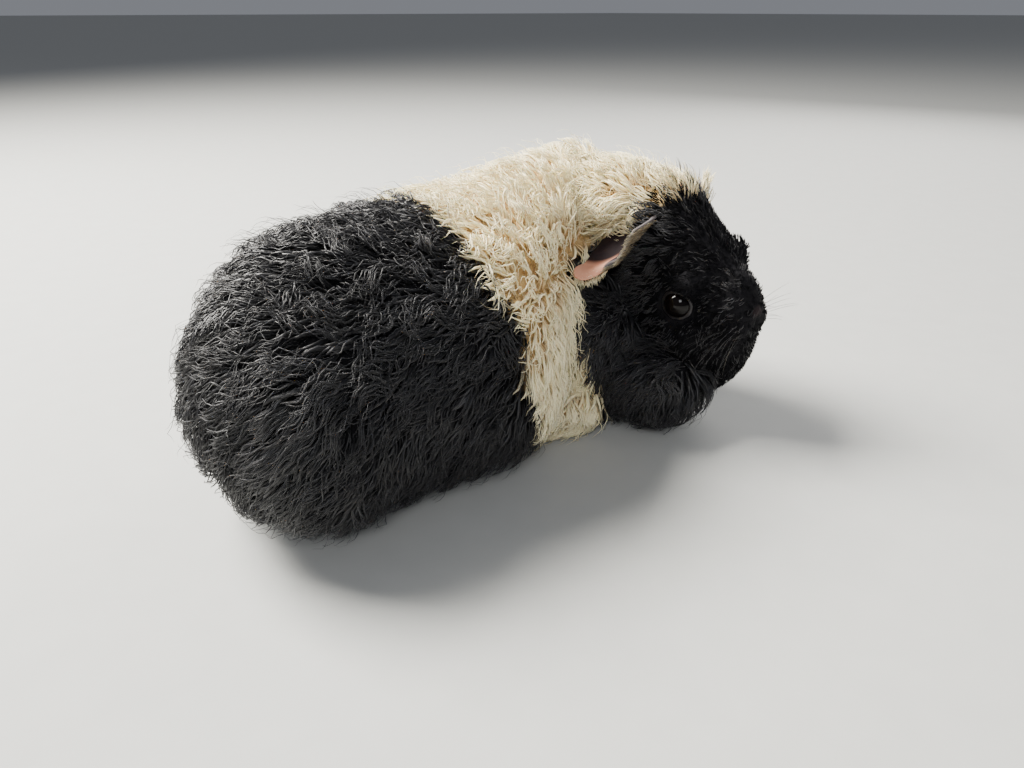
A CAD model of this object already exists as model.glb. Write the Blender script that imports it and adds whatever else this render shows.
import math

import bmesh
import bpy
import numpy as np
from mathutils import Matrix, Vector
from mathutils.kdtree import KDTree


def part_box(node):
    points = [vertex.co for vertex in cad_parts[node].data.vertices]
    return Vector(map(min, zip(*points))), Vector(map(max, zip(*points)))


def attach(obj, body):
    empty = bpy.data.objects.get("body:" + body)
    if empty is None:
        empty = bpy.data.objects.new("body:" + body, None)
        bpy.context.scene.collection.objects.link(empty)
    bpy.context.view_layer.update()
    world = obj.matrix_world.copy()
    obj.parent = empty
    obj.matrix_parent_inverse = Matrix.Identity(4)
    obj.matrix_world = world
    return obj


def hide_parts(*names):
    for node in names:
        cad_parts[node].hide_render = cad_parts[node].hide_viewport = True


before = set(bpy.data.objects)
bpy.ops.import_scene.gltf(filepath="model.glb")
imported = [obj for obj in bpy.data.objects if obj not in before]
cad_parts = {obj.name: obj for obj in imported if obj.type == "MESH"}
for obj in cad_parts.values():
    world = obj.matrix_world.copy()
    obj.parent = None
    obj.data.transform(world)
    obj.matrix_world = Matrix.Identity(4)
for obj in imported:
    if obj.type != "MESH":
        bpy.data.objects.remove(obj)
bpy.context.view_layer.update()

# The camera
# It stands behind the animal's right flank, above it, and looks down along its back towards its face.
# The animal's sizes are in mm in the frame that it is drawn in, and shift carries them to the model's own.
MM = 0.001
HEAD_PLACE = (50.6, -37.8, 49.1)
HEAD_TURN = (-92, -2, 16)
EYE_PLACE = (0.5, 12.5, 0)
CAMERA_PLACE = (-135.1, -176.2, 127)
CAMERA_PITCH = 26.9
CAMERA_HEADING = 38
LENS = 26.0
SENSOR = 36.0


def turn(heading, nod=0, tilt=0):
    """Heading about Z, then nose down by nod, then the left side up by tilt, all in degrees."""
    return (
        Matrix.Rotation(math.radians(heading), 4, "Z")
        @ Matrix.Rotation(math.radians(nod), 4, "Y")
        @ Matrix.Rotation(math.radians(tilt), 4, "X")
    )


head_frame = Matrix.Translation(HEAD_PLACE) @ turn(*HEAD_TURN)
eye_low, eye_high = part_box("eye_right")
shift = (eye_low + eye_high) / 2 - head_frame @ Vector((EYE_PLACE[0], -EYE_PLACE[1], EYE_PLACE[2])) * MM
to_model = Matrix.Translation(shift) @ Matrix.Scale(MM, 4)

camera = bpy.data.objects.new("camera", bpy.data.cameras.new("camera"))
camera.data.lens = LENS
camera.data.sensor_width = SENSOR
camera.location = to_model @ Vector(CAMERA_PLACE)
camera.rotation_euler = (math.radians(90 - CAMERA_PITCH), 0, math.radians(-CAMERA_HEADING))
camera.data.clip_start = 0.01
bpy.context.scene.collection.objects.link(camera)
bpy.context.scene.camera = camera


# The floor and the light
# A plain pale studio floor, a soft window light from beyond the animal's back, a weak fill on the near side
# and one more ahead of its breast. Places and sizes of the floor and the lights are in metres.
class Value:
    """A number from a material's node, so that shader maths reads as plain expressions."""

    def __init__(self, finish, socket):
        self.finish, self.socket = finish, socket

    def __add__(self, other):
        return self.finish.node("ShaderNodeMath", {"operation": "ADD"}, self, other)

    def __mul__(self, other):
        return self.finish.node("ShaderNodeMath", {"operation": "MULTIPLY"}, self, other)

    __radd__ = __add__
    __rmul__ = __mul__

    def within(self, low, high):
        """0 up to low, 1 from high on."""
        span = {"interpolation_type": "SMOOTHSTEP"}
        return self.finish.node("ShaderNodeMapRange", span, self, low, high, 0.0, 1.0)


class Finish:
    """A material with a Principled shader, and one way to add any node to it."""

    def __init__(self, name, **constants):
        self.material = bpy.data.materials.new(name)
        self.material.use_nodes = True
        self.tree = self.material.node_tree
        self.shader = self.tree.nodes["Principled BSDF"]
        for socket, value in constants.items():
            self.feed(socket.replace("_", " ").title(), value)

    def feed(self, socket, value, node=None):
        target = (node or self.shader).inputs[socket]
        if isinstance(value, Value):
            self.tree.links.new(value.socket, target)
        else:
            target.default_value = value

    def node(self, kind, settings, *values, out=0, **named):
        """A node of that type: its settings first, then its sockets by place or by name."""
        made = self.tree.nodes.new(kind)
        for key, value in settings.items():
            setattr(made, key, value)
        for k, value in enumerate(values):
            self.feed(k, value, made)
        for key, value in named.items():
            self.feed(key, value, made)
        return Value(self, made.outputs[out])

    def attribute(self, name):
        return self.node("ShaderNodeAttribute", {"attribute_name": name}, out="Fac")

    def noise(self, scale, detail=3.0):
        place = self.node("ShaderNodeTexCoord", {}, out="Object")
        return self.node("ShaderNodeTexNoise", {}, Vector=place, Scale=scale, Detail=detail)

    def mix(self, factor, first, second):
        return self.node("ShaderNodeMix", {"data_type": "RGBA"}, out=2, Factor=factor, A=first, B=second)

    def bump(self, height, strength, distance):
        made = self.node("ShaderNodeBump", {}, Height=height, Strength=strength, Distance=distance)
        self.feed("Normal", made)


def colour(red, green, blue):
    """A colour as a screen shows it, 0 to 255, as the linear values that a shader takes."""
    linear = []
    for part in (red, green, blue):
        linear.append(part / 255 / 12.92 if part < 10 else ((part / 255 + 0.055) / 1.055) ** 2.4)
    return (*linear, 1)


FLOOR_SIZE = 40
# Each light: its place, size, power in watts and tint.
LIGHTS = {
    "window": ((-0.35, 0.55, 0.8), 0.5, 60.0, (1.0, 0.965, 0.9)),
    "room": ((-0.5, -0.7, 0.7), 0.35, 5.0, (0.97, 0.98, 1.0)),
    "far_side": ((0.8, 0.25, 0.5), 0.5, 7.0, (1.0, 0.97, 0.94)),
}
LIT_PLACE = (0, 0, 0.03)
SKY_COLOUR = (0.86, 0.9, 1.0, 1)
SKY_STRENGTH = 0.24

floor_finish = Finish("floor", roughness=0.85)
floor_grain = floor_finish.noise(90.0, 5.0)
floor_finish.feed("Base Color", floor_finish.mix(floor_grain, colour(172, 173, 170), colour(180, 181, 178)))
floor_finish.bump(floor_grain, 0.08, 0.001)
bpy.ops.mesh.primitive_plane_add(size=FLOOR_SIZE)
floor = bpy.context.object
floor.name = "floor"
floor.data.materials.append(floor_finish.material)

for name, (place, size, power, tint) in LIGHTS.items():
    lamp = bpy.data.objects.new(name, bpy.data.lights.new(name, "AREA"))
    lamp.data.size = size
    lamp.data.energy = power
    lamp.data.color = tint
    lamp.location = place
    lamp.rotation_euler = (Vector(LIT_PLACE) - Vector(place)).to_track_quat("-Z", "Y").to_euler()
    bpy.context.scene.collection.objects.link(lamp)
sky = bpy.data.worlds.new("studio")
sky.use_nodes = True
sky.node_tree.nodes["Background"].inputs["Color"].default_value = SKY_COLOUR
sky.node_tree.nodes["Background"].inputs["Strength"].default_value = SKY_STRENGTH
bpy.context.scene.world = sky

# The body under the coat
# Flesh and skin from rump to breast, drawn from sections along the spine, with the soft breast, the fold
# before the shoulder and the nape. It lies inside the coat's outline by the depth of the wool.

# Each section: its place along the spine, middle, heading in degrees, half width, top and belly's squareness.
BODY = np.array([
    (-103, -6, 0, 42, 71, 2.8),
    (-60, 1, 0, 41, 80, 2.8),
    (-20, 1, 0, 42, 83, 3.0),
    (12, 7, -6, 31, 86, 3.6),
    (38, 10, -22, 26, 88, 3.4),
    (62, 1, -44, 24, 86, 3.0),
], float)
BODY_MIDDLE = 0.48
BODY_ROUND = (34, 24)
# Each round mass: its centre, half sizes and heading. Breast, shoulder fold, neck, nape and low fold.
SOFT_MASSES = (
    ((40, -28, 18), (22, 20, 17.5), -90),
    ((26, -13, 26), (22, 17, 26.5), -25),
    ((50, -8, 54), (20, 20, 29), -60),
    ((37, -8, 74), (20, 15, 12.5), -60),
    ((13, -14, 11), (22, 14, 12.5), -12),
)
BODY_DEPTH = 4.2
SKIN_DEPTH = 5.5
SKIN_GRAIN = 1.6


def between(sections, at):
    """The sections' values at places along a loft, on a smooth curve through the named ones."""
    places = sections[:, 0]
    k = np.clip(np.searchsorted(places, at, side="right") - 1, 0, len(places) - 2)
    span = places[k + 1] - places[k]
    u = np.clip((at - places[k]) / span, 0, 1)
    before = np.maximum(np.arange(len(places)) - 1, 0)
    after = np.minimum(np.arange(len(places)) + 1, len(places) - 1)
    slope = (sections[after] - sections[before]) / (places[after] - places[before])[:, None]
    start, end = sections[k].T, sections[k + 1].T
    cubic = (
        start * (1 + 2 * u) * (1 - u) ** 2
        + end * u * u * (3 - 2 * u)
        + span * slope[k].T * u * (1 - u) ** 2
        - span * slope[k + 1].T * u * u * (1 - u)
    )
    return cubic[1:]


def end_scale(at, sections, rounding, power):
    """How large a loft's sections still are in its rounded ends: 1 before them and 0 at the tips."""
    first, last = sections[0, 0], sections[-1, 0]
    rear, front = rounding
    past = np.maximum(np.maximum((first + rear - at) / rear, (at - last + front) / front), 0)
    return np.maximum(0.0, 1 - np.minimum(past, 1) ** power) ** (1 / power)


def round_off(angle, lower, upper):
    """A point of a rounded square of half size 1, with one squareness below and one above."""
    across, up = np.cos(angle), np.sin(angle)
    power = np.where(up < 0, lower, upper)
    reach = (np.abs(across) ** power + np.abs(up) ** power) ** (1 / power)
    return across / reach, up / reach


def body_point(at, angle, inset):
    """A point of the body: at is its place along the spine, angle its place round it, inset its depth."""
    middle, heading, half, top, square = between(BODY, at)
    scale = end_scale(at, BODY, BODY_ROUND, 2.0)
    across, up = round_off(angle, square, 2.0)
    centre = top * BODY_MIDDLE
    height = np.where(up > 0, top - centre, centre)
    sideways = across * (half - inset) * scale
    lean = np.radians(heading)
    return np.stack([
        at * (1 - inset / np.where(at < 0, -BODY[0, 0], BODY[-1, 0])) - sideways * np.sin(lean),
        middle + sideways * np.cos(lean),
        centre + up * (height - inset) * scale,
    ], -1)


def body_out(points):
    """How far points lie outside the coat's outline on the body, about, in mm."""
    x, y, z = points.T
    at = x.copy()
    for _ in range(4):
        middle, heading, half, top, square = between(BODY, at)
        lean = np.radians(heading)
        side = (y - middle) / np.cos(lean)
        at = np.clip(x + side * np.sin(lean), BODY[0, 0] + 0.3, BODY[-1, 0] - 0.3)
    beyond = np.maximum(0, np.abs(x + side * np.sin(lean) - at) - 0.5)
    scale = end_scale(at, BODY, BODY_ROUND, 2.0)
    centre = top * BODY_MIDDLE
    height = np.where(z > centre, top - centre, centre)
    power = np.where(z > centre, 2.0, square)
    across, up = np.abs(side) / (half * scale), np.abs(z - centre) / (height * scale)
    reach = (across**power + up**power) ** (1 / power)
    return (reach - 1) * np.minimum(half, height) * scale + beyond


def mass_frame(mass):
    return Matrix.Translation(mass[0]) @ turn(mass[2])


def mass_point(mass, at, angle, inset):
    """A point of a round mass: at is its height from -1 to 1, angle its place round it."""
    flat = np.sqrt(1 - at * at)
    half = np.array(mass[1]) - np.asarray(inset, float).reshape(-1, 1)
    local = np.stack([np.cos(angle) * flat, np.sin(angle) * flat, at], -1) * half
    return moved(mass_frame(mass), local)


def mass_out(mass, points):
    """How far points lie outside a round mass, about, in mm."""
    local = moved(mass_frame(mass).inverted(), points) / np.array(mass[1])
    return (np.linalg.norm(local, axis=1) - 1) * min(mass[1])


def moved(matrix, points):
    """Points carried by a matrix."""
    grid = np.array(matrix)
    return points @ grid[:3, :3].T + grid[:3, 3]


def new_mesh(name, points, faces, finish):
    """An object from points in the drawing's mm and faces of one size."""
    mesh = bpy.data.meshes.new(name)
    faces = np.asarray(faces, np.int32)
    mesh.vertices.add(len(points))
    mesh.vertices.foreach_set("co", (points * MM + np.array(shift)).astype(np.float32).ravel())
    mesh.loops.add(faces.size)
    mesh.loops.foreach_set("vertex_index", faces.ravel())
    mesh.polygons.add(len(faces))
    mesh.polygons.foreach_set("loop_start", np.arange(0, faces.size, faces.shape[1], dtype=np.int32))
    mesh.update(calc_edges=True)
    mesh.polygons.foreach_set("use_smooth", np.full(len(faces), True))
    mesh.validate()
    obj = bpy.data.objects.new(name, mesh)
    bpy.context.scene.collection.objects.link(obj)
    mesh.materials.append(finish.material)
    return obj


def ring_faces(rings, sides):
    """Faces of four corners between rings of points that follow one another."""
    k = np.arange(sides)
    n = (k + 1) % sides
    faces = [np.stack([i * sides + k, i * sides + n, (i + 1) * sides + n, (i + 1) * sides + k], -1)
             for i in range(rings - 1)]
    return np.concatenate(faces)


def spread_places(first, last, count):
    """Places along a loft, closer together towards both ends."""
    return (first + last) / 2 - (last - first) / 2 * np.cos(np.linspace(0.002, np.pi - 0.002, count))


def closed_loft(name, point, places, sides, finish):
    """A closed skin through rings at the places along it, with its two small end holes filled."""
    at, angle = np.meshgrid(places, np.arange(sides) * 2 * np.pi / sides, indexing="ij")
    obj = new_mesh(name, point(at.ravel(), angle.ravel()), ring_faces(len(places), sides), finish)
    bm = bmesh.new()
    bm.from_mesh(obj.data)
    bmesh.ops.holes_fill(bm, edges=[edge for edge in bm.edges if edge.is_boundary])
    bmesh.ops.recalc_face_normals(bm, faces=bm.faces)
    bm.to_mesh(obj.data)
    bm.free()
    return obj


def join(objects, name):
    """One object from several."""
    bpy.ops.object.select_all(action="DESELECT")
    for obj in objects:
        obj.select_set(True)
    bpy.context.view_layer.objects.active = objects[0]
    bpy.ops.object.join()
    objects[0].name = name
    return objects[0]


def applied(obj):
    """The object's mesh with its modifiers applied."""
    bpy.context.view_layer.update()
    graph = bpy.context.evaluated_depsgraph_get()
    mesh = bpy.data.meshes.new_from_object(obj.evaluated_get(graph))
    obj.modifiers.clear()
    obj.data = mesh
    return obj


skin_finish = Finish("skin_and_undercoat", roughness=0.8)
skin_finish.feed("Specular IOR Level", 0.12)
flesh = [closed_loft("flesh", lambda at, angle: body_point(at, angle, SKIN_DEPTH),
                     spread_places(BODY[0, 0], BODY[-1, 0], 60), 64, skin_finish)]
for mass in SOFT_MASSES:
    flesh.append(closed_loft("flesh", lambda at, angle: mass_point(mass, at, angle, SKIN_DEPTH),
                             np.sin(np.linspace(-1.56, 1.56, 30)), 40, skin_finish))
skin = join(flesh, "skin")
remesh = skin.modifiers.new("Remesh", "REMESH")
remesh.mode = "VOXEL"
remesh.voxel_size = SKIN_GRAIN * MM
smooth = skin.modifiers.new("Smooth", "SMOOTH")
smooth.iterations = 12
applied(skin)

# The head under the coat
# One skin from nape to nose: a broad cheek and jaw, a narrower brow, a blunt muzzle with a cleft lip,
# oval nostrils, a full brow and the line of the mouth. It joins the body's skin inside the wool.

# Each section: its place from nape to nose, half width, top, bottom and how much narrower its crown is.
HEAD = np.array([
    (-33, 19, 31, -32, 0.0),
    (-22, 22, 35, -38, 0.04),
    (-10, 21.5, 34, -41, 0.12),
    (2, 18.3, 23, -39, 0.26),
    (10.5, 11.5, 11.3, -32, 0.12),
    (16, 8.6, 7.0, -25, 0.0),
    (20.2, 7.2, 3.4, -15, 0.0),
], float)
HEAD_SQUARE = (2.2, 2.1)
HEAD_ROUND = (14, 7)
MUZZLE_RAKE = 0.2
MUZZLE_MIDDLE = -7
HEAD_DEPTH = 3.2
FACE_DEPTH = 0.9
LOFT_RINGS = 170
LOFT_SIDES = 200
# Each form of the face, alike on both sides: its place in the head's frame, its size and how far it rises.
FACE_FORMS = {
    "lip_pads": ((16.4, 4.2, -9.5), (4.5, 3.2, 3.6), 1.3),
    "nose_pad": ((19.8, 0, -3.2), (3, 3.4, 2.6), 0.5),
    "cheeks": ((2, 15, -12), (9, 6, 6), 0.8),
    "nostrils": ((19.8, 3.1, -3.2), (1.7, 1.5, 0.9), -1.8),
}
BROWS = ((4, 9.5, 6.5), (4.6, 5, 4.2), 4.4)
BROW_WAY = (0.3, 0.85, 0.35)
MOUTH_HEIGHT = -13.5
MOUTH_DEPTH = 1.0
CLEFT_HEIGHT = -10
CLEFT_DEPTH = 0.9
LINE_HALF = 0.55


def eased(share):
    """A share from 0 to 1 that starts and ends gently."""
    return share * share * (3 - 2 * share)


def head_depth(at):
    """How deep the skin lies under the coat's outline: deep in the wool behind, close to it on the face."""
    return HEAD_DEPTH + (FACE_DEPTH - HEAD_DEPTH) * eased(np.clip((at + 12) / 16, 0, 1))


def head_local(at, angle, inset):
    """A point of the head in its own frame, before the forms of the face."""
    half, top, bottom, narrow = between(HEAD, at)
    scale = end_scale(at, HEAD, HEAD_ROUND, 2.3)
    across, up = round_off(angle, *HEAD_SQUARE)
    across = across * (1 - narrow * eased(np.clip((up + 0.35) / 0.7, 0, 1)))
    height = (top + bottom) / 2 + up * ((top - bottom) / 2 - inset) * scale
    rake = MUZZLE_RAKE * (height - MUZZLE_MIDDLE) * np.maximum(at / HEAD[-1, 0], 0) ** 2
    return np.stack([at * (1 - inset / HEAD[-1, 0]) + rake, across * (half - inset) * scale, height], -1)


def head_out(points):
    """How far points lie outside the coat's outline on the head, about, in mm."""
    x, y, z = moved(head_frame.inverted(), points).T
    x = x - MUZZLE_RAKE * (z - MUZZLE_MIDDLE) * np.clip(x / HEAD[-1, 0], 0, 1) ** 2
    at = np.clip(x, HEAD[0, 0] + 0.2, HEAD[-1, 0] - 0.2)
    half, top, bottom, narrow = between(HEAD, at)
    scale = end_scale(at, HEAD, HEAD_ROUND, 2.3)
    height = (top - bottom) / 2
    up = (z - (top + bottom) / 2) / (height * scale)
    across = np.abs(y) / (half * scale * (1 - narrow * eased(np.clip((up + 0.35) / 0.7, 0, 1))))
    power = np.where(up < 0, *HEAD_SQUARE)
    reach = (across**power + np.abs(up) ** power) ** (1 / power)
    return (reach - 1) * half * scale + np.maximum(0, np.abs(x - at) - 0.3)


def bump_at(local, place, size, depth):
    """How far a form raises points of the face: a round rise or dent, alike on both sides."""
    offset = (local - np.array(place)) * (1, 0, 1)
    offset[:, 1] = np.abs(local[:, 1]) - place[1]
    return depth * np.exp(-((offset / np.array(size)) ** 2).sum(1))


def face_point(at, angle, inset):
    """The head's skin with the forms of the face raised and sunk in it."""
    local = head_local(at, angle, inset)
    x, y, z = local.T
    out = local - np.stack([x * 0.6, np.zeros_like(y), np.full_like(z, -8)], -1)
    out /= np.linalg.norm(out, axis=1)[:, None] + 1e-6
    raised = sum(bump_at(local, *form) for form in FACE_FORMS.values())
    mouth = MOUTH_HEIGHT + 2.6 * np.clip((20 - x) / 14, 0, 1) + 0.10 * np.abs(y)
    raised -= MOUTH_DEPTH * np.clip((x - 3) / 4, 0, 1) * np.exp(-(((z - mouth) / LINE_HALF) ** 2))
    cleft = np.exp(-((y / LINE_HALF) ** 2)) * np.clip((x - 14) / 3, 0, 1)
    raised -= CLEFT_DEPTH * cleft * np.exp(-(((z - CLEFT_HEIGHT) / 3.4) ** 2))
    ahead, aside, above = BROW_WAY
    brow_way = np.stack([np.full_like(x, ahead), np.sign(y) * aside, np.full_like(z, above)], -1)
    return moved(head_frame, local + out * raised[:, None] + bump_at(local, *BROWS)[:, None] * brow_way)


head_skin = closed_loft("head_skin", lambda at, angle: face_point(at, angle, head_depth(at)),
                        spread_places(HEAD[0, 0], HEAD[-1, 0], LOFT_RINGS), LOFT_SIDES, skin_finish)
skin = join([skin, head_skin], "skin")

# The markings
# Black from the rump to a line behind the shoulders, cream over the shoulders, the neck and the crown,
# and black again on the face, cheeks, throat and breast. The skin and every lock take them from here.

# Each line: heights above the floor and how far forward the border stands there.
REAR_LINE = np.array([(0, -2), (12, -7), (26, -17), (44, -23), (60, -24), (76, -28), (90, -31)], float)
CHEEK_LINE = np.array([(0, 25), (11, 22), (18, 21), (28, 16), (42, 11), (50, 12), (90, 12)], float)
CROWN_BORDER = -6.5
BREAST_TOP = 57
BORDER_BLUR = 1.4
# Each swell of the wandering borders: its reach in mm, its size and its seed.
SWELLS = ((1.8, 15, 3), (0.8, 6, 4))
NOSE_SKIN = (20.6, 0, -4)
rng = np.random.default_rng(7)


def drift(points, size, seed):
    """A smooth random field from about -1 to 1, whose swells are about size mm apart."""
    draw = np.random.default_rng(seed)
    total = np.zeros(len(points))
    for _ in range(9):
        way = draw.normal(size=3)
        way *= 2 * np.pi / size * draw.uniform(0.6, 1.5) / np.linalg.norm(way)
        total += np.sin(points @ way + draw.uniform(0, 2 * np.pi))
    return total / 3.2


def cream_at(points):
    """1 where the coat is cream and 0 where it is black, with a soft and wandering edge."""
    x, y, z = points.T
    wander = sum(reach * drift(points, size, seed) for reach, size, seed in SWELLS)
    behind = x - np.interp(z, *REAR_LINE.T)
    along, out, up = moved(head_frame.inverted(), points).T
    crown = CROWN_BORDER - 0.35 * np.abs(out) + 2 * (out > 3)
    above = np.clip((up - 9) / 7, 0, 1)
    on_head = head_out(points) < np.where(along > -3, 9, 3)
    head = np.where(on_head, along - (crown * above - 45 * (1 - above)), -9)
    breast = np.minimum(x - np.interp(z, *CHEEK_LINE.T), np.maximum(44 - z, 0) * 0.9 - 4 - y)
    breast = np.minimum(breast, BREAST_TOP - z)
    signed = np.minimum(behind, -np.maximum(head, breast)) + wander
    return np.clip(signed / BORDER_BLUR + 0.5, 0, 1)


def add_values(obj, **values):
    """Numbers on a mesh's points that its finish reads."""
    for name, numbers in values.items():
        made = obj.data.attributes.new(name, "FLOAT", "POINT")
        made.data.foreach_set("value", np.asarray(numbers, np.float32))


def drawn_points(obj):
    """An object's points in the drawing's mm."""
    flat = np.empty(len(obj.data.vertices) * 3, np.float32)
    obj.data.vertices.foreach_get("co", flat)
    return (flat.reshape(-1, 3).astype(float) - np.array(shift)) / MM


skin_points = drawn_points(skin)
from_nose = moved(head_frame.inverted(), skin_points) - NOSE_SKIN
bare = np.exp(-((from_nose / (1.6, 3.0, 2.4)) ** 2).sum(1))
add_values(skin, cream=cream_at(skin_points), bare=bare)
skin_cream = skin_finish.attribute("cream")
skin_grain = skin_finish.noise(900.0, 4.0)
skin_swell = skin_finish.noise(120.0, 3.0)
skin_black = skin_finish.mix(skin_swell, colour(10, 10, 11), colour(24, 23, 27))
skin_pale = skin_finish.mix(skin_swell, colour(206, 172, 118), colour(226, 198, 146))
skin_coat = skin_finish.mix(skin_cream, skin_black, skin_pale)
skin_bare = skin_finish.mix(skin_grain, colour(26, 21, 23), colour(48, 39, 41))
nose_share = skin_finish.attribute("bare").within(0.25, 0.6)
skin_finish.feed("Base Color", skin_finish.mix(nose_share, skin_coat, skin_bare))
skin_finish.bump(skin_grain, 0.9, 0.0008)
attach(skin, "root")
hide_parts("torso_rear", "torso_front", "neck", "head")

# The coat of curls
# Wool of a short-coated curly breed: ringlets on the rump, longer waves on the flanks, a soft collar and
# close hair on the head. Each lock is a thin closed wisp of three sides, rooted in the skin.
ROOT_DEPTH = 1.2
EYE_CLEAR = 6.0
LOWEST = 0.4
PIECE_LIMIT = 195000
PATCH_HALF = 0.0014
BODY_LOCKS = 19500
MASS_LOCKS = 1500
HEAD_LOCKS = 5600
STRAYS = 1800
CREST = 420
# Each form that carries coat: its skin, its outline, its span and its cell of the map of roots.
FORMS = {
    "body": (body_point, body_out, (BODY[0, 0] + 0.5, BODY[-1, 0] - 0.5), (0.02, 0.02, 0.56, 0.46)),
    "head": (face_point, head_out, (HEAD[0, 0] + 0.3, HEAD[-1, 0] - 0.3), (0.02, 0.52, 0.56, 0.46)),
}
for k, mass in enumerate(SOFT_MASSES):
    FORMS["mass_" + str(k)] = (
        lambda at, angle, inset, mass=mass: mass_point(mass, at, angle, inset),
        lambda points, mass=mass: mass_out(mass, points),
        (-0.98, 0.98), (0.62, 0.02 + 0.19 * k, 0.36, 0.17),
    )
NOSE = np.array(head_frame @ Vector((34, 0, -2)))
EYES = np.array([head_frame @ Vector((EYE_PLACE[0], side * EYE_PLACE[1], EYE_PLACE[2])) for side in (1, -1)])


def coat_out(points):
    """How far points lie outside the whole coat's outline, about, in mm."""
    return np.min([out(points) for _, out, _, _ in FORMS.values()], axis=0)


def roots_on(form, count, depth):
    """Roots spread evenly over one form's skin where no other form covers it, with normals and map places."""
    point, out, span, cell = FORMS[form]
    at, angle = rng.uniform(*span, count * 6), rng.uniform(0, 2 * np.pi, count * 6)
    inset = depth(at)
    small = (span[1] - span[0]) / 400
    along = point(at + small, angle, inset) - point(at - small, angle, inset)
    around = point(at, angle + 0.01, inset) - point(at, angle - 0.01, inset)
    normal = np.cross(around, along)
    area = np.linalg.norm(normal, axis=1) / small
    normal /= np.linalg.norm(normal, axis=1)[:, None] + 1e-12
    place = point(at, angle, inset)
    if ((place - place.mean(0)) * normal).sum() < 0:
        normal = -normal
    keep = rng.uniform(0, np.quantile(area, 0.97), len(area)) < area
    for other, (_, covers, _, _) in FORMS.items():
        if other != form:
            keep &= covers(place) > -inset - 0.5
    map_place = np.stack([
        cell[0] + cell[2] * (at - span[0]) / (span[1] - span[0]),
        cell[1] + cell[3] * angle / (2 * np.pi),
    ], -1)
    pick = np.flatnonzero(keep)[:count]
    return place[pick], normal[pick], map_place[pick]


def unit(vectors):
    """Vectors at a length of 1."""
    return vectors / (np.linalg.norm(vectors, axis=-1, keepdims=True) + 1e-9)


def nearest_guide(place, apart):
    """For every root, which root its curl is drawn to: they stand about apart mm from each other."""
    chosen = []
    tree = KDTree(len(place))
    for k, spot in enumerate(place):
        tree.insert(spot, k)
    tree.balance()
    free = np.ones(len(place), bool)
    for k in range(len(place)):
        if free[k]:
            chosen.append(k)
            for _, other, _ in tree.find_range(place[k], apart):
                free[other] = False
    guides = KDTree(len(chosen))
    for k in chosen:
        guides.insert(place[k], k)
    guides.balance()
    return np.array([guides.find(spot)[1] for spot in place])


def lock_paths(place, normal, guide, length, curl, wave, rise, steps, sway, droop, loose, lie, gather):
    """Each lock's middle line: it leaves its root, lies along the coat, winds and leans to its guide."""
    count = len(place)
    heart, out = place[guide], normal[guide]
    fall = -0.3 - 0.6 * np.clip(1 - heart[:, 2:] / 80, 0, 1)
    base = unit(heart - NOSE) + np.array((0, 0, 1)) * fall if lie is None else lie
    flow = unit(base - out * (base * out).sum(1)[:, None])
    side = np.cross(out, flow)
    shared_yaw = sway * (0.4 * drift(heart, 26, 11) + rng.normal(0, 0.6, count)[guide])
    yaw = (shared_yaw + rng.normal(0, 0.14, count))[:, None]
    flow, side = flow * np.cos(yaw) + side * np.sin(yaw), side * np.cos(yaw) - flow * np.sin(yaw)
    t = np.linspace(0, 1, steps + 1)[None, :, None]
    reach = length[:, None, None]
    grow = 1 - (1 - t) ** 2
    start = rng.uniform(0, 2 * np.pi, count)[guide] + rng.normal(0, 0.6, count)
    hand = rng.choice([-1.0, 1.0], count)[guide]
    winding = wave[guide] * rng.normal(1, 0.05, count)
    phase = (start[:, None, None] + 2 * np.pi * t * reach / winding[:, None, None]) * hand[:, None, None]
    ring = (curl * rng.uniform(0.6, 1.25, count)[guide])[:, None, None] * grow
    lift = (0.6 * rise[guide] + 0.4 * rise)[:, None, None]
    path = place[:, None] - normal[:, None] * ROOT_DEPTH
    path = path + (heart - place)[:, None] * (gather * rng.uniform(0.1, 1, count))[:, None, None] * t**1.3
    path = path + flow[:, None] * reach * t * (1 - 0.12 * t)
    path = path + out[:, None] * ((lift + 0.6) * grow - reach**2 * t * t / 150)
    path = path + side[:, None] * ring * np.cos(phase) + out[:, None] * ring * (0.5 + 0.5 * np.sin(phase))
    path[..., 2] -= (droop * reach * t * t)[..., 0]
    return kept_in_coat(path, normal, loose)


def kept_in_coat(path, normal, loose):
    """Paths pressed back to loose mm outside the coat's outline, and kept off the eyes and the floor."""
    count, stations, _ = path.shape
    flat = path.reshape(-1, 3)
    ups = np.repeat(normal, stations, axis=0)
    for _ in range(2):
        beyond = coat_out(flat) - np.repeat(np.broadcast_to(loose, count), stations)
        flat = flat - ups * np.maximum(beyond, 0)[:, None] * 0.8
    for eye in EYES:
        away = flat - eye
        near = np.linalg.norm(away, axis=1)
        flat = flat + unit(away) * np.clip(EYE_CLEAR - near, 0, 3)[:, None]
    flat[:, 2] = np.maximum(flat[:, 2], LOWEST)
    return flat.reshape(count, stations, 3)


def lock_corners(path, normal, width):
    """The three corners of each lock at every station of its path: widest midway and finest at the tip."""
    ahead = unit(np.gradient(path, axis=1))
    across = unit(np.cross(ahead, normal[:, None] + 0.001))
    above = np.cross(across, ahead)
    spread = np.sin(np.pi * np.linspace(0.22, 0.97, path.shape[1])) ** 0.8
    size = width[:, None, None] * spread[None, :, None]
    corners = []
    for right, up in ((0.5, -0.1), (0.0, 0.42), (-0.5, -0.1)):
        corners.append(path + across * size * right + above * size * up)
    points = np.stack(corners, 2)
    points[..., 2] = np.maximum(points[..., 2], 0.15)
    return points


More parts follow.
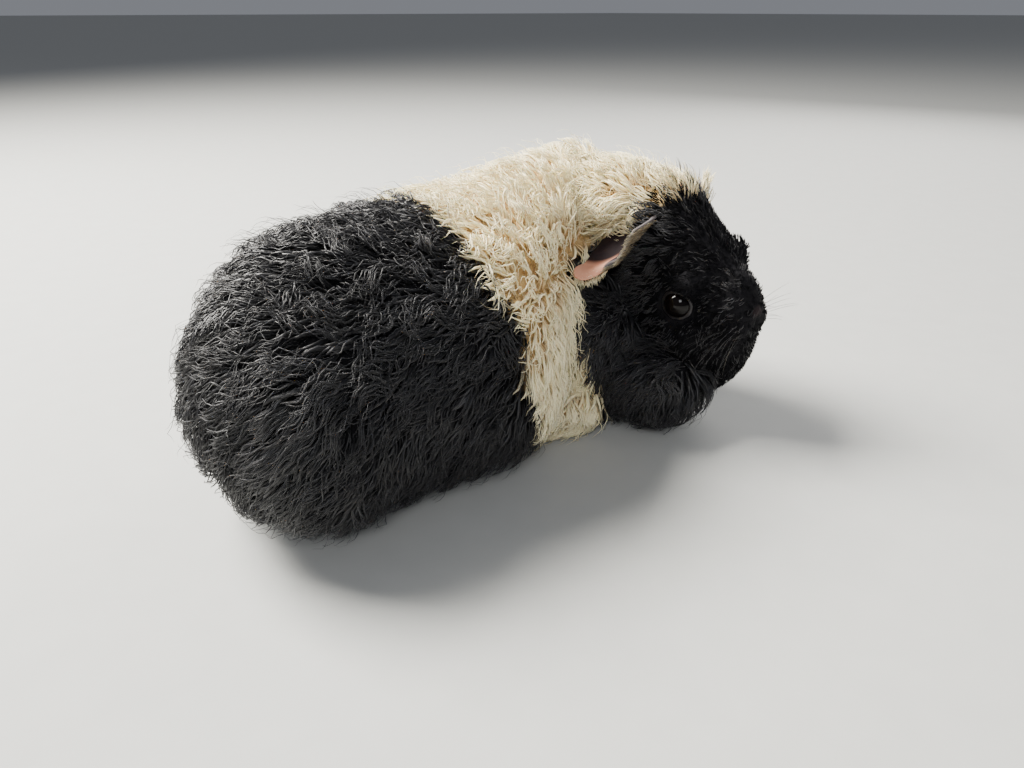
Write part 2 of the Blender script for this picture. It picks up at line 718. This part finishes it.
def lock_faces(steps):
    """The triangles of one lock: its three long sides and its two ends."""
    ring_of = np.arange(steps)[:, None] * 3
    k = np.arange(3)[None]
    n = (k + 1) % 3
    quads = np.stack([ring_of + k, ring_of + n, ring_of + 3 + n, ring_of + 3 + k], -1).reshape(-1, 4)
    ends = np.array([[2, 1, 0], [steps * 3, steps * 3 + 1, steps * 3 + 2]])
    return np.concatenate([quads[:, [0, 1, 2]], quads[:, [0, 2, 3]], ends])


def locks(name, place, normal, spot, finish, length, width, curl, wave, rise, steps,
          sway=0.5, droop=0.0, loose=0.6, lie=None, tint=None, apart=4.5, gather=0.4):
    """Locks on the given roots, in pieces under the limit, each lock with a patch at its root's map place."""
    count = len(place)
    guide = nearest_guide(place, apart)
    path = lock_paths(place, normal, guide, length, curl, wave, rise, steps, sway, droop, loose, lie, gather)
    points = lock_corners(path, normal, width)
    one = lock_faces(steps)
    stride = (steps + 1) * 3
    cream = cream_at((place + path[:, steps // 2]) / 2) if tint is None else tint
    chance = np.clip(rng.uniform(0, 1, count)[guide] * 0.6 + rng.uniform(0, 0.4, count), 0, 1)
    patch = np.stack([np.repeat(np.linspace(-1, 1, steps + 1), 3), np.tile([-1.0, 0, 1], steps + 1)], -1)
    share = PIECE_LIMIT // len(one)
    for number, begin in enumerate(range(0, count, share), 1):
        part = slice(begin, min(begin + share, count))
        many = part.stop - part.start
        faces = (one[None] + (np.arange(many) * stride)[:, None, None]).reshape(-1, 3)
        piece = new_mesh(name + "_" + str(number), points[part].reshape(-1, 3), faces, finish)
        add_values(piece, cream=np.repeat(cream[part], stride), chance=np.repeat(chance[part], stride),
                   tip=np.tile(np.repeat(np.linspace(0, 1, steps + 1), 3), many))
        corner_map = (spot[part][:, None] + (patch * PATCH_HALF)[None]).reshape(-1, 2)[faces.ravel()]
        layer = piece.data.uv_layers.new(name="OFBake")
        layer.data.foreach_set("uv", corner_map.astype(np.float32).ravel())
        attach(piece, "root")


coat_finish = Finish("curly_coat", sheen_weight=0.1, sheen_roughness=0.4)
coat_finish.feed("Subsurface Weight", 0.2)
coat_finish.feed("Subsurface Radius", (0.003, 0.0022, 0.0014))
coat_cream = coat_finish.attribute("cream")
coat_chance = coat_finish.attribute("chance")
coat_tip = coat_finish.attribute("tip")
coat_grain = coat_finish.noise(700.0, 3.0)
coat_black = coat_finish.mix(coat_chance, colour(5, 5, 6), colour(21, 21, 26))
coat_black = coat_finish.mix(coat_tip.within(0.5, 1.0) * 0.4, coat_black, colour(40, 37, 40))
coat_pale = coat_finish.mix(coat_tip.within(0.0, 0.55), colour(240, 202, 142), colour(255, 240, 194))
coat_pale = coat_finish.mix(coat_chance * 0.35, coat_pale, colour(255, 249, 222))
coat_finish.feed("Base Color", coat_finish.mix(coat_cream, coat_black, coat_pale))
coat_finish.feed("Roughness", 0.34 + coat_grain * 0.2)
coat_finish.bump(coat_grain, 0.4, 0.0003)


def body_depth(at):
    """How deep the body's roots lie under the coat's outline."""
    return np.full(len(at), BODY_DEPTH)


# The belly that rests on the floor carries few locks. The ringlets are tightest high on the rump.
body_roots = [roots_on("body", BODY_LOCKS, body_depth)]
body_roots += [roots_on("mass_" + str(k), MASS_LOCKS, body_depth) for k in range(len(SOFT_MASSES))]
place, normal, spot = [np.concatenate(column) for column in zip(*body_roots)]
under = (normal[:, 2] < -0.75) & (place[:, 2] < 8) & (rng.uniform(0, 1, len(place)) < 0.7)
place, normal, spot = place[~under], normal[~under], spot[~under]
tight = np.clip((place[:, 2] - 44) / 25, 0, 1) * np.clip((-place[:, 0] + 20) / 40, 0, 1)
is_cream = cream_at(place) > 0.5
for name, pick in (("black", ~is_cream), ("cream", is_cream)):
    pale = float(name == "cream")
    kept = np.flatnonzero(pick)
    low, high = kept[::5], kept[np.arange(len(kept)) % 5 > 0]
    size = len(low)
    locks(
        "undercoat_" + name, place[low], normal[low], spot[low], coat_finish,
        length=rng.uniform(9, 12, size), width=rng.uniform(1.0, 1.5, size), curl=rng.uniform(0.3, 0.6, size),
        wave=rng.uniform(8, 11, size), rise=rng.uniform(2.0, 2.9, size), steps=4, sway=0.2, apart=0.5,
    )
    size = len(high)
    locks(
        "coat_" + name, place[high], normal[high], spot[high], coat_finish,
        length=rng.uniform(9.5, 12.5, size) + 2.5 * (1 - tight[high]) * (1 - pale),
        width=rng.uniform(0.32, 0.6, size) - 0.04 * pale,
        curl=rng.uniform(0.7, 1.0, size) + 0.8 * tight[high] + 0.5 * pale,
        wave=rng.uniform(9, 12, size) - 2.5 * tight[high] - pale,
        rise=rng.uniform(2.0, 4.8, size) + 0.8 * pale,
        steps=7, sway=0.6, droop=0.05, apart=4.0,
    )
pick = rng.choice(len(place), STRAYS, replace=False)
locks(
    "coat_strays", place[pick], normal[pick], spot[pick], coat_finish,
    length=rng.uniform(11, 16, STRAYS), width=rng.uniform(0.16, 0.26, STRAYS),
    curl=rng.uniform(0.8, 1.6, STRAYS), wave=rng.uniform(7, 11, STRAYS), rise=rng.uniform(4, 8, STRAYS),
    steps=8, loose=2.6, apart=0.5, sway=0.7,
)

# The head's locks are shorter towards the face, longer on the crown and left out round the eyes.
place, normal, spot = roots_on("head", HEAD_LOCKS, head_depth)
local = moved(head_frame.inverted(), place)
short = np.clip((local[:, 0] + 10) / 14, 0, 1)
rim = np.min([np.linalg.norm(place - eye, axis=1) for eye in EYES], axis=0)
keep = (rim > 6.4) & (rng.uniform(0, 1, len(place)) > 0.4 * short)
place, normal, spot, short, rim, local = [v[keep] for v in (place, normal, spot, short, rim, local)]
crown = np.clip((local[:, 2] - 12) / 12, 0, 1) * np.clip((-local[:, 0] + 2) / 8, 0, 1)
size = len(place)
reach = (rng.uniform(6.0, 8.5, size) + 3.5 * crown) * (1 - 0.5 * short) * np.clip(rim / 14, 0.45, 1)
locks(
    "coat_head", place, normal, spot, coat_finish,
    length=reach, width=rng.uniform(0.32, 0.55, size) * (1 - 0.3 * short),
    curl=rng.uniform(0.5, 0.9, size) * (1 - 0.5 * short), wave=rng.uniform(6, 9, size),
    rise=rng.uniform(1.2, 2.6, size) * (1 - 0.45 * short) + 1.0 * crown, steps=6, sway=0.45, apart=3.0,
    loose=0.8,
)

# A crest of long pale hairs stands up from the crown, mixed with the black ones.
place, normal, spot = roots_on("head", CREST * 14, head_depth)
local = moved(head_frame.inverted(), place)
on_crown = (np.abs(local[:, 0] + 8) < 4.5) & (np.abs(local[:, 1] - 5) < 8) & (local[:, 2] > 20)
pick = np.flatnonzero(on_crown)[:CREST]
size = len(pick)
locks(
    "coat_crest", place[pick], normal[pick], spot[pick], coat_finish,
    length=rng.uniform(6, 9.5, size), width=rng.uniform(0.16, 0.3, size), curl=rng.uniform(0.2, 0.5, size),
    wave=rng.uniform(7, 10, size), rise=rng.uniform(3.5, 6.5, size), steps=6, loose=4.0, apart=1.2, sway=0.5,
    tint=rng.choice([0.95, 0.7, 0.05], size),
)

# The hair of the face
# Very short, fine, dull black hair on the muzzle, the brow and round the eyes. It is rooted in the thin
# skin, lies back from the nose and leaves the nose pad bare.
FACE_HAIRS = 14500
face_finish = Finish("face_hair", roughness=0.7)
face_finish.feed("Specular IOR Level", 0.08)
face_grain = face_finish.noise(900.0, 3.0)
face_chance = face_finish.attribute("chance")
face_finish.feed("Base Color", face_finish.mix(face_chance, colour(4, 4, 5), colour(17, 17, 21)))
face_finish.bump(face_grain, 0.4, 0.0003)

place, normal, spot = roots_on("head", FACE_HAIRS, head_depth)
local = moved(head_frame.inverted(), place)
rim = np.min([np.linalg.norm(place - eye, axis=1) for eye in EYES], axis=0)
nose_pad = (((local - NOSE_SKIN) / (1.4, 2.6, 2.0)) ** 2).sum(1)
keep = (rim > 5.6) & (nose_pad > 1) & (local[:, 0] > -12)
place, normal, spot, rim, local = [v[keep] for v in (place, normal, spot, rim, local)]
size = len(place)
nearness = np.clip((22 - local[:, 0]) / 16, 0.4, 1)
locks(
    "coat_face", place, normal, spot, face_finish,
    length=rng.uniform(3.0, 4.6, size) * nearness * np.clip(rim / 11, 0.5, 1),
    width=rng.uniform(0.22, 0.36, size), curl=rng.uniform(0.1, 0.35, size), wave=rng.uniform(5, 8, size),
    rise=rng.uniform(1.1, 1.9, size) * (0.5 + 0.5 * nearness), steps=3, sway=0.5, apart=1.5, gather=0.2,
    loose=0.8 + 7.5 * np.exp(-((local[:, 0] - 3) / 7) ** 2 - ((local[:, 2] - 5) / 7) ** 2),
)

# The eyes
# Dark, round and wet, set at the sides of the head. Each lies in its socket in a narrow rim of bare dark
# lid, which is a little narrower from above to below than from front to rear.
EYE_RADIUS = 4.6
LID_RADIUS = 0.42
LID_TURNS = 72
LID_ROUNDS = 12
eye_finish = Finish("wet_eye", roughness=0.04)
eye_finish.feed("Specular IOR Level", 0.12)
eye_finish.feed("Coat Weight", 0.12)
eye_finish.feed("Coat Roughness", 0.02)
eye_depth = eye_finish.noise(300.0, 2.0)
eye_finish.feed("Base Color", eye_finish.mix(eye_depth, colour(4, 3, 3), colour(14, 9, 8)))
lid_finish = Finish("lid_skin", roughness=0.4)
lid_grain = lid_finish.noise(1500.0, 3.0)
lid_finish.feed("Base Color", lid_finish.mix(lid_grain, colour(16, 14, 16), colour(44, 40, 43)))
lid_finish.bump(lid_grain, 0.4, 0.0002)


def eye_place(side):
    """A frame at an eye's centre whose z axis looks out of the socket."""
    outward = Vector((0.3, side, 0.15)).to_track_quat("Z", "X").to_matrix().to_4x4()
    return head_frame @ Matrix.Translation((EYE_PLACE[0], side * EYE_PLACE[1], EYE_PLACE[2])) @ outward


def eye_point(side, at, angle):
    """A point of the eyeball, whose clear front stands out a little: at is its height in radians."""
    ahead = np.sin(at) * (1 + 0.05 * np.clip(np.sin(at) - 0.6, 0, 1))
    ball = np.stack([np.cos(at) * np.cos(angle), np.cos(at) * np.sin(angle), ahead], -1)
    return moved(eye_place(side), ball * EYE_RADIUS)


def lid_point(side, along, around):
    """A point of the lids, one rounded rim: along runs round the eye and around runs round the rim."""
    height = 1.9 + 0.35 * np.cos(2 * along)
    radius = np.sqrt(EYE_RADIUS**2 - height**2) + 0.18
    thick = LID_RADIUS * (1 + 0.12 * np.sin(9 * along + 2))
    spread = radius + thick * np.cos(around) * 1.5
    height = height - 0.35 + thick * np.sin(around)
    return moved(eye_place(side), np.stack([spread * np.cos(along), spread * np.sin(along), height], -1))


for side, name in ((1, "left"), (-1, "right")):
    eye = closed_loft("eyeball_" + name, lambda at, angle: eye_point(side, at, angle),
                      np.linspace(-1.55, 1.55, 40), 48, eye_finish)
    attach(eye, "root")
    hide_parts("eye_" + name)

    i, j = np.meshgrid(np.arange(LID_TURNS), np.arange(LID_ROUNDS), indexing="ij")
    n, m = (i + 1) % LID_TURNS, (j + 1) % LID_ROUNDS
    corners = [i * LID_ROUNDS + j, n * LID_ROUNDS + j, n * LID_ROUNDS + m, i * LID_ROUNDS + m]
    along, around = i.ravel() * 2 * np.pi / LID_TURNS, j.ravel() * 2 * np.pi / LID_ROUNDS
    faces = np.stack(corners, -1).reshape(-1, 4)
    lids = new_mesh("lids_" + name, lid_point(side, along, around), faces, lid_finish)
    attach(lids, "root")

# The ears
# Thin drooping petals of dark bare skin, each with a grey front rim, a rolled pink lobe and a fringe of fine
# hair. They grow from the sides of the crown. The right one hangs open and the left one lies folded.

# Each curve is given by three points from front to rear, in the head's frame and on its left side.
EAR_ROOT = ((-7, 8.5, 25.5), (-17, 13, 23), (-26, 16, 17.5))
EAR_RIMS = {
    "right": ((-8, 20, 24.5), (-12.5, 30, 15), (-13.5, 45, 17)),
    "left": ((-9, 12.5, 27), (-14, 19, 21), (-22, 24, 13)),
}
EAR_HOLLOW = 2.2
EAR_THICK = 0.9
EAR_ROWS = 40
EAR_COLUMNS = 46
FRINGE_HAIRS = 700
ear_finish = Finish("ear_skin", roughness=0.7)
ear_finish.feed("Specular IOR Level", 0.2)
ear_grain = ear_finish.noise(500.0, 4.0)
ear_veins = ear_finish.noise(140.0, 2.0)
ear_dark = ear_finish.mix(ear_veins, colour(22, 16, 19), colour(46, 34, 38))
ear_pink = ear_finish.mix(ear_veins, colour(206, 138, 112), colour(236, 178, 150))
ear_both = ear_finish.mix(ear_finish.attribute("dark"), ear_pink, ear_dark)
ear_finish.feed("Base Color", ear_finish.mix(ear_finish.attribute("rim"), ear_both, colour(104, 98, 98)))
ear_finish.feed("Subsurface Weight", 0.12)
ear_finish.feed("Subsurface Radius", (0.004, 0.0015, 0.001))
ear_finish.bump(ear_grain, 0.35, 0.0004)


def through(points, u):
    """Places on the smooth curve through three points."""
    start, middle, end = np.array(points, float)
    u = u[:, None]
    return start * (1 - u) * (1 - 2 * u) + middle * 4 * u * (1 - u) + end * u * (2 * u - 1)


def ear_point(name, u, v):
    """The ear's middle sheet: u runs along its root from front to rear, v from the root to the rim."""
    root = through(EAR_ROOT, u)
    reach = (v * np.sin(np.pi * (0.16 + 0.68 * u)) ** 0.35)[:, None]
    local = root + (through(EAR_RIMS[name], u) - root) * reach
    rolled = np.clip((v - 0.62) / 0.38, 0, 1) * np.clip((u - 0.3) / 0.2, 0, 1)
    crease = 0.4 * np.sin(11 * u + 1) * v * v
    rise = 1.9 * np.sin(np.pi * rolled) - EAR_HOLLOW * 4 * v * (1 - v) * np.sin(np.pi * u) + crease
    rise += 1.2 * np.clip((0.16 - u) / 0.16, 0, 1)
    local = local + np.array((0, 0.5, 0.8)) * rise[:, None]
    local = local - np.array((0, 0.8, -0.5)) * (1.6 * rolled**2)[:, None]
    local[:, 1] *= 1 if name == "left" else -1
    return moved(head_frame, local)


for side, name in ((1, "left"), (-1, "right")):
    along, away = np.meshgrid(np.linspace(0, 1, EAR_COLUMNS), np.linspace(0, 1, EAR_ROWS), indexing="ij")
    along, away = along.ravel(), away.ravel()
    i, j = np.meshgrid(np.arange(EAR_COLUMNS - 1), np.arange(EAR_ROWS - 1), indexing="ij")
    corner = i * EAR_ROWS + j
    faces = np.stack([corner, corner + EAR_ROWS, corner + EAR_ROWS + 1, corner + 1], -1).reshape(-1, 4)
    ear = new_mesh("ear_petal_" + name, ear_point(name, along, away), faces, ear_finish)
    edge = np.clip((away - 0.84) / 0.06, 0, 1) * np.clip((0.5 - along) / 0.06, 0, 1)
    front = np.clip((0.09 - along) / 0.05, 0, 1) + edge
    lobe = np.clip((along - 0.42) / 0.06, 0, 1) * np.clip((away - 0.52) / 0.1, 0, 1)
    add_values(ear, rim=np.clip(front, 0, 1) * 0.85, dark=1 - lobe)
    solid = ear.modifiers.new("Solidify", "SOLIDIFY")
    solid.thickness = EAR_THICK * MM
    solid.offset = 0.0
    soften = ear.modifiers.new("Subdivision", "SUBSURF")
    soften.levels = soften.render_levels = 1
    applied(ear)
    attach(ear, "root")
    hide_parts("ear_" + name)

    # Every third hair of the fringe stands on the front rim, the others mostly near the outer edge.
    # On the open ear the front hairs are dark. Those of the folded ear are all pale, longer and upright.
    folded = name == "left"
    u = rng.uniform(0.0, 1, FRINGE_HAIRS)
    v = 1 - rng.uniform(0, 0.9, FRINGE_HAIRS) ** 3
    u[::3] = rng.uniform(0, 0.15, len(u[::3]))
    v[::3] = rng.uniform(0.1, 1, len(v[::3]))
    root = ear_point(name, u, v)
    out = unit(root - ear_point(name, u, v - 0.1))
    lean = unit(np.cross(out, unit(ear_point(name, u + 0.02, v) - root))) * side
    map_spot = np.stack([0.62 + 0.16 * u, np.full(FRINGE_HAIRS, 0.985)], -1)
    pale = np.full(FRINGE_HAIRS, 0.9)
    locks(
        "ear_fringe_" + name, root, lean, map_spot, coat_finish,
        length=rng.uniform(1.6, 3.6, FRINGE_HAIRS) * (1.9 if folded else 1),
        width=rng.uniform(0.14, 0.24, FRINGE_HAIRS), curl=np.full(FRINGE_HAIRS, 0.15),
        wave=np.full(FRINGE_HAIRS, 7.0), rise=rng.uniform(0.0, 0.8, FRINGE_HAIRS), steps=4, sway=0.25,
        loose=30.0, lie=out + np.array((0, 0, 0.9 if folded else -0.3)), apart=0.3,
        tint=pale if folded else np.where(u < 0.45, rng.uniform(0.1, 0.4, FRINGE_HAIRS), pale),
    )

# The whiskers
# Stiff, thin, dark bristles in three rows on each lip pad, at both sides of the muzzle. They are rooted
# deep in the pads, taper to their tips and droop a little.
WHISKERS = 14
whisker_place = []
whisker_way = []
for side in (1, -1):
    for k in range(WHISKERS):
        row, column = k % 3, k // 3
        whisker_place.append((16.5 - 1.5 * column, side * (7.6 + 0.55 * column), -8.0 - 2.0 * row))
        whisker_way.append((0.25 - 0.16 * column, side * 1.0, 0.1 - 0.22 * row + rng.uniform(-0.1, 0.1)))
whisker_place = moved(head_frame, np.array(whisker_place))
whisker_way = np.array(whisker_way) @ np.array(head_frame)[:3, :3].T
whisker_up = unit(np.cross(whisker_way, (0.2, 0.3, 1.0)))
size = len(whisker_place)
whisker_spot = np.stack([np.linspace(0.8, 0.97, size), np.full(size, 0.985)], -1)
locks(
    "whiskers", whisker_place, whisker_up, whisker_spot, coat_finish,
    length=rng.uniform(11, 19, size), width=np.full(size, 0.1), curl=np.full(size, 0.0),
    wave=np.full(size, 50.0), rise=rng.uniform(-1, 1.5, size), steps=10, sway=0.0,
    droop=0.12, loose=60.0, lie=whisker_way, tint=rng.choice([0.0, 0.0, 0.0, 0.05], size),
)

# The feet
# Small bare soles with short toes, four before and three behind, each with a blunt dark claw. The coat
# hangs over them to the floor.

# Each kind of paw: length, width, height and toes. Each paw: its kind, where its heel stands and its heading.
FORE_PAW = (15, 8, 6, 4)
HIND_PAW = (28, 10, 8, 3)
PAWS = {
    "foreleg_right": (FORE_PAW, (31, -9), -42),
    "foreleg_left": (FORE_PAW, (43, 7), -36),
    "hindleg_right": (HIND_PAW, (-50, -5), -3),
    "hindleg_left": (HIND_PAW, (-50, 25), 7),
}
CLAW_HALF = (1.8, 0.55, 0.7)
PAW_GRAIN = 0.5
paw_finish = Finish("paw_skin", roughness=0.6)
paw_grain = paw_finish.noise(700.0, 4.0)
paw_finish.feed("Base Color", paw_finish.mix(paw_grain, colour(70, 54, 52), colour(128, 98, 90)))
paw_finish.bump(paw_grain, 0.5, 0.0003)
claw_finish = Finish("claw", roughness=0.3)
claw_grain = claw_finish.noise(400.0, 3.0)
claw_finish.feed("Base Color", claw_finish.mix(claw_grain, colour(34, 28, 26), colour(84, 70, 60)))


def lump(name, frame_at, centre, half, finish, rows=16, columns=18):
    """A round lump of a foot, with its half sizes."""
    rise = np.linspace(-np.pi / 2, np.pi / 2, rows)
    r, a = np.meshgrid(rise, np.arange(columns) * 2 * np.pi / columns, indexing="ij")
    ball = np.stack([np.cos(r) * np.cos(a), np.cos(r) * np.sin(a), np.sin(r)], -1).reshape(-1, 3)
    return new_mesh(name, moved(frame_at, ball * half + np.array(centre)), ring_faces(rows, columns), finish)


for name, ((length, width, height, toes), stand, heading) in PAWS.items():
    paw_frame = Matrix.Translation((stand[0], stand[1], 0)) @ turn(heading)
    lumps = [
        lump(name + "_paw", paw_frame, (length * 0.45, 0, height * 0.38),
             (length * 0.5, width * 0.45, height * 0.55), paw_finish),
        lump(name, paw_frame, (length * 0.25, 0, 9), (length * 0.24, width * 0.42, 9.5), paw_finish),
    ]
    claws = []
    for k in range(toes):
        across = 2 * k / (toes - 1) - 1
        thick = width * 0.5 / toes
        tip = length * (0.92 - 0.06 * abs(across))
        lumps.append(lump(name, paw_frame, (tip, across * width * 0.36, height * 0.24),
                          (length * 0.14, thick, height * 0.3), paw_finish))
        claw_place = (tip + length * 0.13, across * width * 0.38, height * 0.22)
        claws.append(lump(name + "_claws", paw_frame, claw_place, CLAW_HALF, claw_finish, 10, 12))
    paw = join(lumps, name + "_paw")
    blend = paw.modifiers.new("Remesh", "REMESH")
    blend.mode = "VOXEL"
    blend.voxel_size = PAW_GRAIN * MM
    soften = paw.modifiers.new("Smooth", "SMOOTH")
    soften.iterations = 4
    applied(paw)
    for vert in paw.data.vertices:
        vert.co.z = max(vert.co.z, 0.0)
    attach(paw, "root")
    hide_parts(name)
    claws = join(claws, name + "_claws")
    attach(claws, "root")
